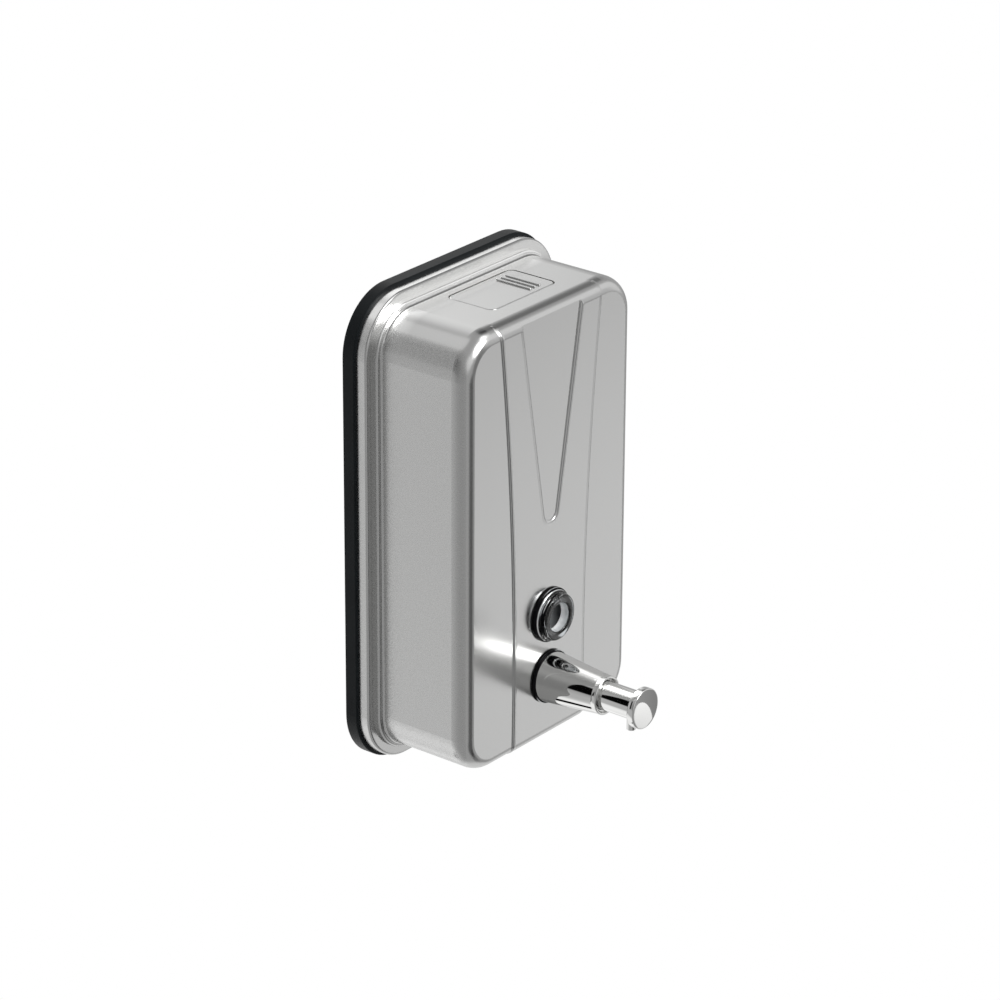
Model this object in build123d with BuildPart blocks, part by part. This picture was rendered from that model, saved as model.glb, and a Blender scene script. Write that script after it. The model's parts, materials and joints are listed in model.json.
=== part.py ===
from build123d import *
import math
import os

os.makedirs("parts", exist_ok=True)

# Wall mounted soap dispenser, in millimetres.
# The origin is on the wall at the middle of the back cover: X to the right, Y into the wall, Z up.
# A depth is a distance from the wall towards the front, along -Y.
# A reach is a distance out of the front face, and is negative inside the tank.
# A rise is a height above the underside of the housing's body.

# Clearances
running_fit = 0.05
slip_fit = 0.05
thread_fit = 0.05
rest_gap = 0.1

# Back cover
cover_width = 125.0
cover_height = 208.4
cover_corner_r = 25.5
cover_depth = 5.85
cover_edge_r = 0.6
recess_depth = 3.4
recess_rim = 6.0
ridge_width = 3.0
ridge_height = 3.0
ridge_clearance = 0.2

# Pressed steel housing
sheet = 0.8
bend_r = 0.3
rim_inset = 1.45
rim_height = 5.15
flange_width = 4.3
step_height = 2.2
root_r = 1.0
shoulder_flat = 0.05
panel_depth = 56.7
nose_r = 5.0

# Raised band on the front, narrowest at its waist, and the vee pressed into it
band_rise = 0.5
band_waist = 23.7
band_waist_rise = 34.3
band_sweep_r = 1290.0
band_back_margin = 4.0
band_edge_r = 1.5
vee_length = 93.7
vee_tip_r = 4.0
vee_half_angle = 9.9
vee_wall_slope = 60.0

# Tabs, screws and seals that hold the cover
tab_depth = 10.0
tab_thickness = 1.2
tab_width = 14.0
tab_foot = 16.0
tab_leg = 16.0
tab_pitch = 60.0
screw_inset = 9.0
screw_r = 2.0
screw_length = 11.5
screw_head_r = 3.6
screw_head_height = 1.8
screw_slot = 0.9
screw_slot_length = 4.7
screw_slot_depth = 0.9
seal_thickness = 0.8
boss_r = 4.6

# Wall bracket
bracket_width = 54.0
bracket_height = 150.0
bracket_sheet = 1.2
bracket_corner_r = 5.0
wall_hole_r = 2.75
wall_hole_pitch_x = 36.0
wall_hole_pitch_z = 110.0
hook_width = 12.0
hook_pitch = 30.0
hook_rise = 6.0
hook_root = 3.0
hook_clearance = 0.25
bridge_height = 4.0
bridge_post = 3.0

# Fill lid, its hinge and the neck below it
lid_length = 41.3
lid_width = 23.7
lid_corner_r = 3.0
lid_gap = 0.5
lid_edge_r = 0.4
lid_center_x = 1.25
lid_center_depth = 30.15
rib_count = 3
rib_pitch = 3.0
rib_length = 18.0
rib_width = 1.3
rib_height = 0.6
rib_end_margin = 7.0
carrier_thickness = 2.2
carrier_inset = 0.4
hinge_inset = 5.0
hinge_drop = 2.2
lid_pin_r = 0.8
neck_wall = 1.6
neck_drop = 11.5
neck_flange = 3.0
neck_flange_thickness = 1.6
ledge_reach = 1.5
ledge_thickness = 1.5
ledge_hinge_gap = 6.5

# Level window
sight_rise = 57.0
sight_shank_r = 8.0
sight_hole_clearance = 0.2
sight_gasket_r = 11.75
sight_gasket_thickness = 1.5
sight_flange_r = 10.9
sight_flange_thickness = 1.3
sight_face_r = 10.1
sight_reach = 5.3
sight_well_r = 6.3
sight_well_depth = 7.5
sight_window = 1.8
sight_shank_length = 10.0
sight_round = 0.5
sight_seal_r = 11.0
sight_nut_across = 20.0
sight_nut_thickness = 4.5

# Pump
pump_rise = 28.9
shank_r = 9.0
shank_hole_clearance = 0.2
pump_gasket_r = 11.6
gasket_thickness = 1.4
gasket_round = 0.4
cone_base_r = 10.9
cone_lip_r = 8.2
cone_reach = 29.7
cone_lip_round = 0.45
cone_mouth_r = 7.2
cone_mouth_depth = 3.2
cone_bore_r = 7.6
shank_length = 9.0
inner_seal_thickness = 1.5
inner_seal_r = 12.6
pump_nut_across = 24.0
pump_nut_thickness = 6.0
bush_length = 10.0
barrel_bore_r = 6.6
barrel_end = 1.6
barrel_collar_r = 9.0
barrel_collar = 2.0
barrel_skirt = 4.0
barrel_port_r = 2.2
barrel_port_slot = 1.2
barrel_port_slot_reach = 3.2

# Plunger
plunger_r = 6.15
lip_clearance = 0.75
piston_clearance = 0.2
piston_length = 8.0
piston_spigot_r = 3.0
piston_spigot = 4.0
piston_port_r = 1.4
piston_groove_depth = 1.3
seat_rim = 0.35
piston_seal_section_r = 0.72
head_r = 8.74
head_reach = 49.65
head_thickness = 3.3
head_wall = 1.5
head_dome = 0.35
head_round = 0.35
delivery_bore_r = 1.4
valve_chamber = 9.6
nozzle_r = 1.85
nozzle_bore_r = 1.2
nozzle_drop = 11.2
nozzle_seat = 3.0
nozzle_setback = 7.1

# Springs and valve balls
return_wire_r = 0.45
return_coil_r = 4.9
return_turns = 7
return_margin = 2.2
outlet_wire_r = 0.25
outlet_coil_r = 1.75
outlet_turns = 6
inlet_ball_r = 3.0
outlet_ball_r = 2.4
ball_seat_gap = 0.15
seat_angle = 45.0

# Suction side
chamber_r = 3.5
chamber_length = 5.5
inlet_port_r = 1.8
inlet_collar = 2.0
inlet_body_r = 5.0
elbow_wall = 0.9
nipple_r = 3.2
nipple_length = 15.0
nipple_wall_end = 3.4
tube_wall = 1.0
tube_overlap = 8.0
tube_floor_gap = 1.5


# Places worked out from the sizes above
flange_front = cover_depth + rim_height
bend_outer_r = sheet + bend_r
step_front = flange_front + step_height
step_inset = rim_inset + flange_width
wall_inset = step_inset + bend_outer_r + root_r + shoulder_flat
body_width = cover_width - 2 * wall_inset
body_height = cover_height - 2 * wall_inset
body_corner_r = cover_corner_r - wall_inset
front_depth = panel_depth + band_rise
top_z = body_height / 2
bottom_z = -top_z
inner_top_z = top_z - sheet
inner_wall_x = body_width / 2 - sheet
pump_z = bottom_z + pump_rise
sight_z = bottom_z + sight_rise
band_waist_z = bottom_z + band_waist_rise
vee_tip_z = top_z - vee_length
overrun = 2.0


def at_depth(depth):
    return Plane.XZ.offset(depth)


def facing_front(z, reach):
    return Plane(origin=(0, -front_depth - reach, z), x_dir=(1, 0, 0), z_dir=(0, -1, 0))


# Section plane through a front axis: its x is the reach and its y the radius
def axis_section(z):
    return Plane(origin=(0, -front_depth, z), x_dir=(0, -1, 0), z_dir=(1, 0, 0))


pump_axis = Axis((0, -front_depth, pump_z), (0, -1, 0))
sight_axis = Axis((0, -front_depth, sight_z), (0, -1, 0))


def keep(piece, name):
    piece.part.label = name
    export_step(piece.part, f"parts/{name}.step")


# The pressed sheet: rim, flange, step, bullnosed body and raised band.
# The outside face has an inset of zero, the inside face an inset of one sheet.
def nosed_block(depth, inset):
    with BuildPart() as block:
        with BuildSketch(at_depth(step_front - inset)):
            RectangleRounded(body_width - 2 * inset, body_height - 2 * inset, body_corner_r - inset)
        extrude(amount=depth - step_front)
        fillet(block.faces().sort_by(Axis.Y)[0].edges(), nose_r - inset)
    return block.part


def band_block(inset):
    top = top_z + overrun
    waist = band_waist - inset
    top_half = waist + band_sweep_r - math.sqrt(band_sweep_r**2 - (top - band_waist_z) ** 2)
    low_half = waist + band_sweep_r - math.sqrt(band_sweep_r**2 - (-top - band_waist_z) ** 2)
    spread = math.tan(math.radians(vee_half_angle))
    tip_r = vee_tip_r + inset
    apex_z = vee_tip_z - vee_tip_r * (1 / math.sin(math.radians(vee_half_angle)) - 1)
    apex_z -= inset / math.sin(math.radians(vee_half_angle))
    with BuildPart() as block:
        with BuildSketch(at_depth(panel_depth - nose_r - band_back_margin)):
            with BuildLine():
                ThreePointArc((top_half, top), (waist, band_waist_z), (low_half, -top))
                Line((low_half, -top), (-low_half, -top))
                ThreePointArc((-low_half, -top), (-waist, band_waist_z), (-top_half, top))
                Line((-top_half, top), (top_half, top))
            make_face()
        extrude(amount=nose_r + band_back_margin + band_rise + overrun)
        add(nosed_block(front_depth, inset), mode=Mode.INTERSECT)
        band_sides = block.faces().sort_by(Axis.Y)[0].edges().filter_by(GeomType.CIRCLE)
        fillet(band_sides, band_edge_r)
        with BuildSketch(at_depth(panel_depth - inset)) as vee:
            with BuildLine():
                Polyline(
                    (0, apex_z),
                    ((top - apex_z) * spread, top),
                    (-(top - apex_z) * spread, top),
                    close=True,
                )
            make_face()
            fillet(vee.vertices().sort_by(Axis.Y)[0], tip_r)
        extrude(amount=band_rise + overrun, taper=-vee_wall_slope, mode=Mode.SUBTRACT)
    return block.part


def pressed_form(inset):
    with BuildPart() as form:
        with BuildSketch(at_depth(cover_depth)):
            rim = rim_inset + inset
            RectangleRounded(cover_width - 2 * rim, cover_height - 2 * rim, cover_corner_r - rim)
        extrude(amount=rim_height - inset)
        fillet(form.faces().sort_by(Axis.Y)[0].edges(), bend_outer_r - inset)
        with BuildSketch(at_depth(flange_front - inset)):
            step = step_inset + inset
            RectangleRounded(cover_width - 2 * step, cover_height - 2 * step, cover_corner_r - step)
        extrude(amount=step_height)
        fillet(form.faces().sort_by(Axis.Y)[0].edges(), bend_outer_r - inset)
        add(nosed_block(panel_depth, inset))
        shoulder_y = -(step_front - inset)
        shoulder = form.faces().filter_by(Axis.Y).sort_by(lambda f: abs(f.center().Y - shoulder_y))[0]
        fillet(shoulder.inner_wires()[0].edges(), root_r + inset)
        add(band_block(inset))
    return form.part


outside_form = pressed_form(0)
inside_form = pressed_form(sheet)

with BuildPart() as housing:
    add(outside_form)
    add(inside_form, mode=Mode.SUBTRACT)
    with BuildSketch(facing_front(pump_z, overrun)):
        Circle(shank_r + shank_hole_clearance)
    extrude(amount=-2 * overrun - sheet, mode=Mode.SUBTRACT)
    with BuildSketch(facing_front(sight_z, overrun)):
        Circle(sight_shank_r + sight_hole_clearance)
    extrude(amount=-2 * overrun - sheet, mode=Mode.SUBTRACT)
    with BuildSketch(Plane.XY.offset(top_z + overrun)):
        with Locations((lid_center_x, -lid_center_depth)):
            RectangleRounded(lid_length + 2 * lid_gap, lid_width + 2 * lid_gap, lid_corner_r + lid_gap)
    extrude(amount=-2 * overrun - sheet, mode=Mode.SUBTRACT)
keep(housing, "housing")

# Angle tabs welded to the side walls, each with a hole for a cover screw
screw_x = inner_wall_x - screw_inset
screw_spots = [(side * screw_x, row * tab_pitch) for side in (-1, 1) for row in (-1, 0, 1)]
with BuildPart() as housing_tabs:
    for side in (-1, 1):
        for row in (-1, 0, 1):
            with BuildSketch(at_depth(tab_depth)):
                with Locations((side * (inner_wall_x - tab_foot / 2), row * tab_pitch)):
                    Rectangle(tab_foot, tab_width)
            extrude(amount=tab_thickness)
            with BuildSketch(at_depth(tab_depth)):
                with Locations((side * (inner_wall_x - tab_thickness / 2), row * tab_pitch)):
                    Rectangle(tab_thickness, tab_width)
            extrude(amount=tab_leg)
    with BuildSketch(at_depth(tab_depth - overrun)):
        with Locations(*screw_spots):
            Circle(screw_r + thread_fit)
    extrude(amount=tab_thickness + 2 * overrun, mode=Mode.SUBTRACT)
keep(housing_tabs, "housing_tabs")

# Back cover: plate with a recess towards the wall, a ridge for the gasket, bosses and two hook bridges
ridge_inset = rim_inset + sheet + ridge_clearance
ridge_inner = ridge_inset + ridge_width
hook_plane_depth = bracket_sheet + hook_clearance
hook_front = hook_plane_depth + bracket_sheet
bridge_span = hook_width + 2 * hook_clearance + 2 * bridge_post
bridge_z = bracket_height / 2 + bridge_height / 2
hook_spots = [(-hook_pitch / 2, bridge_z), (hook_pitch / 2, bridge_z)]
with BuildPart() as back_cover:
    with BuildSketch(Plane.XZ):
        RectangleRounded(cover_width, cover_height, cover_corner_r)
    extrude(amount=cover_depth)
    fillet(back_cover.faces().sort_by(Axis.Y)[0].edges(), cover_edge_r)
    with BuildSketch(at_depth(cover_depth)):
        RectangleRounded(
            cover_width - 2 * ridge_inset, cover_height - 2 * ridge_inset, cover_corner_r - ridge_inset
        )
        RectangleRounded(
            cover_width - 2 * ridge_inner,
            cover_height - 2 * ridge_inner,
            cover_corner_r - ridge_inner,
            mode=Mode.SUBTRACT,
        )
    extrude(amount=ridge_height)
    with BuildSketch(Plane.XZ):
        RectangleRounded(
            cover_width - 2 * recess_rim, cover_height - 2 * recess_rim, cover_corner_r - recess_rim
        )
    extrude(amount=recess_depth, mode=Mode.SUBTRACT)
    with BuildSketch(at_depth(cover_depth)):
        with Locations(*screw_spots):
            Circle(boss_r)
    extrude(amount=tab_depth - cover_depth)
    with BuildSketch(at_depth(recess_depth - overrun)):
        with Locations(*screw_spots):
            Circle(screw_r + slip_fit)
    extrude(amount=tab_depth - recess_depth + 2 * overrun, mode=Mode.SUBTRACT)
    with BuildSketch(at_depth(rest_gap)):
        with Locations(*hook_spots):
            Rectangle(bridge_span, bridge_height)
    extrude(amount=recess_depth - rest_gap)
    with BuildSketch(at_depth(hook_plane_depth - hook_clearance / 2)):
        with Locations(*hook_spots):
            Rectangle(hook_width + 2 * hook_clearance, bridge_height)
    extrude(amount=recess_depth - hook_plane_depth + hook_clearance / 2, mode=Mode.SUBTRACT)
keep(back_cover, "back_cover")

# Wall bracket with two cranked hooks that the bridges of the cover hang on
with BuildPart() as wall_bracket:
    with BuildSketch(Plane.XZ):
        RectangleRounded(bracket_width, bracket_height, bracket_corner_r)
        with GridLocations(wall_hole_pitch_x, wall_hole_pitch_z, 2, 2):
            Circle(wall_hole_r, mode=Mode.SUBTRACT)
    extrude(amount=bracket_sheet)
    with BuildSketch(Plane.XZ):
        with Locations(*[(x, bracket_height / 2 - hook_root / 2) for x, z in hook_spots]):
            Rectangle(hook_width, hook_root)
    extrude(amount=hook_front)
    with BuildSketch(at_depth(hook_plane_depth)):
        with Locations(*[(x, bracket_height / 2 + hook_rise / 2) for x, z in hook_spots]):
            Rectangle(hook_width, hook_rise)
    extrude(amount=bracket_sheet)
keep(wall_bracket, "wall_bracket")

# Gasket between the cover's ridge and the flange
with BuildPart() as rim_gasket:
    with BuildSketch(at_depth(cover_depth + ridge_height)):
        gasket_inset = ridge_inset + bend_r
        RectangleRounded(
            cover_width - 2 * gasket_inset, cover_height - 2 * gasket_inset, cover_corner_r - gasket_inset
        )
        RectangleRounded(
            cover_width - 2 * ridge_inner,
            cover_height - 2 * ridge_inner,
            cover_corner_r - ridge_inner,
            mode=Mode.SUBTRACT,
        )
    extrude(amount=rim_height - sheet - ridge_height)
keep(rim_gasket, "rim_gasket")

# Cover screws with cross slots, and the seal washers under their heads
head_back = recess_depth - seal_thickness - screw_head_height
with BuildPart() as cover_screws:
    with BuildSketch(at_depth(head_back)):
        with Locations(*screw_spots):
            Circle(screw_head_r)
    extrude(amount=screw_head_height)
    with BuildSketch(at_depth(recess_depth - seal_thickness)):
        with Locations(*screw_spots):
            Circle(screw_r)
    extrude(amount=screw_length)
    with BuildSketch(at_depth(head_back)):
        with Locations(*screw_spots):
            Rectangle(screw_slot_length, screw_slot)
            Rectangle(screw_slot, screw_slot_length)
    extrude(amount=screw_slot_depth, mode=Mode.SUBTRACT)
keep(cover_screws, "cover_screws")

with BuildPart() as screw_seals:
    with BuildSketch(at_depth(recess_depth - seal_thickness)):
        with Locations(*screw_spots):
            Circle(screw_head_r)
            Circle(screw_r + slip_fit, mode=Mode.SUBTRACT)
    extrude(amount=seal_thickness)
keep(screw_seals, "screw_seals")

# Fill lid: steel flap with grip ribs near the end that lifts
lid_left_x = lid_center_x - lid_length / 2
lid_right_x = lid_center_x + lid_length / 2
hinge_x = lid_left_x + hinge_inset
hinge_z = top_z - hinge_drop
opening_length = lid_length + 2 * lid_gap
opening_width = lid_width + 2 * lid_gap
with BuildPart() as fill_lid:
    with BuildSketch(Plane.XY.offset(inner_top_z)):
        with Locations((lid_center_x, -lid_center_depth)):
            RectangleRounded(lid_length, lid_width, lid_corner_r)
    extrude(amount=sheet)
    fillet(fill_lid.faces().sort_by(Axis.Z)[-1].edges(), lid_edge_r)
    with BuildSketch(Plane.XY.offset(top_z)):
        for number in range(rib_count):
            with Locations((lid_right_x - rib_end_margin - number * rib_pitch, -lid_center_depth)):
                SlotOverall(rib_length, rib_width, rotation=90)
    extrude(amount=rib_height)
    fillet(fill_lid.faces().sort_by(Axis.Z)[-rib_count:].edges(), rib_height / 2)
keep(fill_lid, "fill_lid")

# Moulded carrier under the flap, with the bore for the hinge pin
knuckle_r = hinge_drop - sheet
carrier_length = lid_length - 2 * carrier_inset
carrier_width = lid_width - 2 * carrier_inset
hinge_plane = Plane(
    origin=(hinge_x, -lid_center_depth, hinge_z), x_dir=(1, 0, 0), z_dir=(0, -1, 0)
)
with BuildPart() as lid_carrier:
    with BuildSketch(Plane.XY.offset(inner_top_z - carrier_thickness)):
        with Locations((lid_center_x, -lid_center_depth)):
            RectangleRounded(carrier_length, carrier_width, lid_corner_r - carrier_inset)
    extrude(amount=carrier_thickness)
    with BuildSketch(hinge_plane):
        Circle(knuckle_r)
    extrude(amount=carrier_width / 2 - lid_corner_r, both=True)
    with BuildSketch(hinge_plane):
        Circle(lid_pin_r + running_fit)
    extrude(amount=carrier_width, both=True, mode=Mode.SUBTRACT)
keep(lid_carrier, "lid_carrier")

with BuildPart() as lid_pin:
    with BuildSketch(hinge_plane):
        Circle(lid_pin_r)
    extrude(amount=opening_width / 2 + neck_wall, both=True)
keep(lid_pin, "lid_pin")

# Filler frame: a neck under the opening, with a flange below the sheet and a ledge the lid rests on
ledge_top = inner_top_z - carrier_thickness - rest_gap
ledge_start_x = hinge_x + ledge_hinge_gap
neck_right_x = lid_center_x + opening_length / 2
with BuildPart() as filler_frame:
    with BuildSketch(Plane.XY.offset(inner_top_z)):
        with Locations((lid_center_x, -lid_center_depth)):
            RectangleRounded(
                opening_length + 2 * (neck_wall + neck_flange),
                opening_width + 2 * (neck_wall + neck_flange),
                lid_corner_r + lid_gap + neck_wall + neck_flange,
            )
    extrude(amount=-neck_flange_thickness)
    with BuildSketch(Plane.XY.offset(inner_top_z)):
        with Locations((lid_center_x, -lid_center_depth)):
            RectangleRounded(
                opening_length + 2 * neck_wall,
                opening_width + 2 * neck_wall,
                lid_corner_r + lid_gap + neck_wall,
            )
    extrude(amount=-neck_drop)
    with BuildSketch(Plane.XY.offset(inner_top_z + overrun)):
        with Locations((lid_center_x, -lid_center_depth)):
            RectangleRounded(opening_length, opening_width, lid_corner_r + lid_gap)
    extrude(amount=-neck_drop - 2 * overrun, mode=Mode.SUBTRACT)
    with BuildSketch(Plane.XY.offset(ledge_top)):
        with Locations(((ledge_start_x + neck_right_x) / 2, -lid_center_depth)):
            Rectangle(neck_right_x - ledge_start_x, opening_width + neck_wall)
        with Locations(((ledge_start_x + neck_right_x) / 2 - ledge_reach, -lid_center_depth)):
            Rectangle(
                neck_right_x - ledge_start_x, opening_width - 2 * ledge_reach, mode=Mode.SUBTRACT
            )
    extrude(amount=-ledge_thickness)
    with BuildSketch(hinge_plane):
        Circle(lid_pin_r)
    extrude(amount=opening_width / 2 + neck_wall, both=True, mode=Mode.SUBTRACT)
keep(filler_frame, "filler_frame")

# Level window: clear plug with a well, its gasket outside, its seal and nut inside
sight_section = axis_section(sight_z)
sight_step = sight_gasket_thickness + sight_flange_thickness
with BuildPart() as sight_gasket:
    with BuildSketch(facing_front(sight_z, 0)):
        Circle(sight_gasket_r)
        Circle(sight_shank_r + slip_fit, mode=Mode.SUBTRACT)
    extrude(amount=sight_gasket_thickness)
    fillet(
        sight_gasket.faces().sort_by(Axis.Y)[0].edges().sort_by(SortBy.RADIUS)[-1], gasket_round
    )
keep(sight_gasket, "sight_gasket")

well_floor = sight_reach - sight_well_depth
with BuildPart() as sight_lens:
    with BuildSketch(sight_section) as lens_profile:
        with BuildLine():
            Polyline(
                (well_floor, 0),
                (well_floor, sight_well_r),
                (sight_reach, sight_well_r),
                (sight_reach, sight_face_r),
                (sight_step, sight_face_r),
                (sight_step, sight_flange_r),
                (sight_gasket_thickness, sight_flange_r),
                (sight_gasket_thickness, sight_shank_r),
                (sight_gasket_thickness - sight_shank_length, sight_shank_r),
                (sight_gasket_thickness - sight_shank_length, sight_well_r),
                (well_floor - sight_window, sight_well_r),
                (well_floor - sight_window, 0),
                close=True,
            )
        make_face()
        fillet(lens_profile.vertices().group_by(Axis.X)[-1], sight_round)
    revolve(axis=sight_axis)
keep(sight_lens, "sight_lens")

with BuildPart() as sight_seal:
    with BuildSketch(facing_front(sight_z, -sheet)):
        Circle(sight_seal_r)
        Circle(sight_shank_r + slip_fit, mode=Mode.SUBTRACT)
    extrude(amount=-inner_seal_thickness)
keep(sight_seal, "sight_seal")

with BuildPart() as sight_nut:
    with BuildSketch(facing_front(sight_z, -sheet - inner_seal_thickness)):
        RegularPolygon(sight_nut_across / 2, 6, major_radius=False)
        Circle(sight_shank_r + thread_fit, mode=Mode.SUBTRACT)
    extrude(amount=-sight_nut_thickness)
keep(sight_nut, "sight_nut")

# Pump housing: cone outside, threaded shank through the front, seals and nut
pump_section = axis_section(pump_z)
with BuildPart() as pump_gasket:
    with BuildSketch(facing_front(pump_z, 0)):
        Circle(pump_gasket_r)
        Circle(shank_r + slip_fit, mode=Mode.SUBTRACT)
    extrude(amount=gasket_thickness)
    fillet(pump_gasket.faces().sort_by(Axis.Y)[0].edges().sort_by(SortBy.RADIUS)[-1], gasket_round)
keep(pump_gasket, "pump_gasket")

mouth_floor = cone_reach - cone_mouth_depth
with BuildPart() as pump_cone:
    with BuildSketch(pump_section) as cone_profile:
        with BuildLine():
            Polyline(
                (-shank_length, cone_bore_r),
                (-shank_length, shank_r),
                (gasket_thickness, shank_r),
                (gasket_thickness, cone_base_r),
                (cone_reach, cone_lip_r),
                (cone_reach, cone_mouth_r),
                (mouth_floor, cone_mouth_r),
                (mouth_floor, cone_bore_r),
                close=True,
            )
        make_face()
        fillet(cone_profile.vertices().group_by(Axis.X)[-1], cone_lip_round)
    revolve(axis=pump_axis)
keep(pump_cone, "pump_cone")

with BuildPart() as pump_seal:
    with BuildSketch(facing_front(pump_z, -sheet)):
        Circle(inner_seal_r)
        Circle(shank_r + slip_fit, mode=Mode.SUBTRACT)
    extrude(amount=-inner_seal_thickness)
keep(pump_seal, "pump_seal")

with BuildPart() as pump_nut:
    with BuildSketch(facing_front(pump_z, -sheet - inner_seal_thickness)):
        RegularPolygon(pump_nut_across / 2, 6, major_radius=False)
        Circle(shank_r + thread_fit, mode=Mode.SUBTRACT)
    extrude(amount=-pump_nut_thickness)
keep(pump_nut, "pump_nut")

# Guide bush behind the cone's mouth
bush_back = mouth_floor - bush_length
with BuildPart() as guide_bush:
    with BuildSketch(facing_front(pump_z, mouth_floor)):
        Circle(cone_bore_r - slip_fit)
        Circle(plunger_r + running_fit, mode=Mode.SUBTRACT)
    extrude(amount=-bush_length)
keep(guide_bush, "guide_bush")

# Pump barrel: bore for the piston, collar against the shank, ported end wall and a skirt for the inlet
barrel_r = cone_bore_r - slip_fit
nozzle_reach = head_reach - nozzle_setback
plunger_stroke = nozzle_reach - nozzle_r - cone_reach - lip_clearance
spring_solid = (return_turns + 1) * 2 * return_wire_r
barrel_length = rest_gap + piston_length + plunger_stroke + spring_solid + return_margin
barrel_floor = bush_back - barrel_length
barrel_back = barrel_floor - barrel_end
skirt_back = barrel_back - barrel_skirt
with BuildPart() as pump_barrel:
    with BuildSketch(facing_front(pump_z, bush_back)):
        Circle(barrel_r)
    extrude(amount=skirt_back - bush_back)
    with BuildSketch(facing_front(pump_z, -shank_length)):
        Circle(barrel_collar_r)
    extrude(amount=-barrel_collar)
    with BuildSketch(facing_front(pump_z, bush_back)):
        Circle(barrel_bore_r)
    extrude(amount=-barrel_length, mode=Mode.SUBTRACT)
    with BuildSketch(facing_front(pump_z, skirt_back)):
        Circle(barrel_bore_r)
    extrude(amount=barrel_skirt, mode=Mode.SUBTRACT)
    with BuildSketch(facing_front(pump_z, barrel_back)):
        Circle(barrel_port_r)
        Rectangle(2 * barrel_port_slot_reach, barrel_port_slot)
        Rectangle(barrel_port_slot, 2 * barrel_port_slot_reach)
    extrude(amount=barrel_end, mode=Mode.SUBTRACT)
keep(pump_barrel, "pump_barrel")

# Piston on the end of the plunger tube, with a seal groove and the seat of the outlet valve
piston_r = barrel_bore_r - piston_clearance
piston_front = bush_back - rest_gap
piston_back = piston_front - piston_length
groove_mid = piston_front - piston_length / 2
groove_r = piston_r - piston_groove_depth
spigot_front = piston_front + piston_spigot
seat_slope = math.tan(math.radians(seat_angle))
seat_mouth_r = piston_spigot_r - slip_fit - seat_rim
seat_depth = (seat_mouth_r - piston_port_r) / seat_slope
with BuildPart() as piston:
    with BuildSketch(pump_section):
        with BuildLine():
            Polyline(
                (piston_back, piston_port_r),
                (piston_back, piston_r),
                (groove_mid - piston_seal_section_r, piston_r),
                (groove_mid - piston_seal_section_r, groove_r),
                (groove_mid + piston_seal_section_r, groove_r),
                (groove_mid + piston_seal_section_r, piston_r),
                (piston_front, piston_r),
                (piston_front, piston_spigot_r - slip_fit),
                (spigot_front, piston_spigot_r - slip_fit),
                (spigot_front, seat_mouth_r),
                (spigot_front - seat_depth, piston_port_r),
                close=True,
            )
        make_face()
    revolve(axis=pump_axis)
keep(piston, "piston")

piston_seal_mean_r = barrel_bore_r - running_fit - piston_seal_section_r
with BuildPart() as piston_seal:
    with BuildSketch(pump_section):
        with Locations((groove_mid, piston_seal_mean_r)):
            Circle(piston_seal_section_r)
    revolve(axis=pump_axis)
keep(piston_seal, "piston_seal")

# Plunger tube: valve chamber behind, delivery bore in front, and a socket below for the nozzle
head_back_reach = head_reach - head_thickness
tube_front = head_reach - head_wall
chamber_front = spigot_front + valve_chamber
nozzle_plane = Plane(
    origin=(0, -front_depth - nozzle_reach, pump_z), x_dir=(1, 0, 0), z_dir=(0, 0, -1)
)
with BuildPart() as plunger_tube:
    with BuildSketch(pump_section):
        with BuildLine():
            Polyline(
                (piston_front, piston_spigot_r),
                (piston_front, plunger_r),
                (tube_front, plunger_r),
                (tube_front, delivery_bore_r),
                (chamber_front, delivery_bore_r),
                (chamber_front, piston_spigot_r),
                close=True,
            )
        make_face()
    revolve(axis=pump_axis)
    with BuildSketch(nozzle_plane):
        Circle(nozzle_bore_r)
    extrude(amount=nozzle_seat, mode=Mode.SUBTRACT)
    with BuildSketch(nozzle_plane.offset(nozzle_seat)):
        Circle(nozzle_r + slip_fit)
    extrude(amount=plunger_r, mode=Mode.SUBTRACT)
keep(plunger_tube, "plunger_tube")

# Push head: drum with a slightly domed face and a socket for the tube
with BuildPart() as push_head:
    with BuildSketch(pump_section) as drum_profile:
        with BuildLine():
            Line((tube_front, 0), (head_reach, 0))
            ThreePointArc(
                (head_reach, 0),
                (head_reach - head_dome / 4, head_r / 2),
                (head_reach - head_dome, head_r),
            )
            Polyline(
                (head_reach - head_dome, head_r),
                (head_back_reach, head_r),
                (head_back_reach, plunger_r),
                (tube_front, plunger_r),
                (tube_front, 0),
            )
        make_face()
        fillet(drum_profile.vertices().group_by(Axis.Y)[-1], head_round)
    revolve(axis=pump_axis)
keep(push_head, "push_head")

# Nozzle: short spout that hangs below the tube, just behind the head
with BuildPart() as nozzle:
    with BuildSketch(nozzle_plane.offset(nozzle_seat)):
        Circle(nozzle_r)
        Circle(nozzle_bore_r, mode=Mode.SUBTRACT)
    extrude(amount=nozzle_drop - nozzle_seat)
keep(nozzle, "nozzle")


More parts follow.
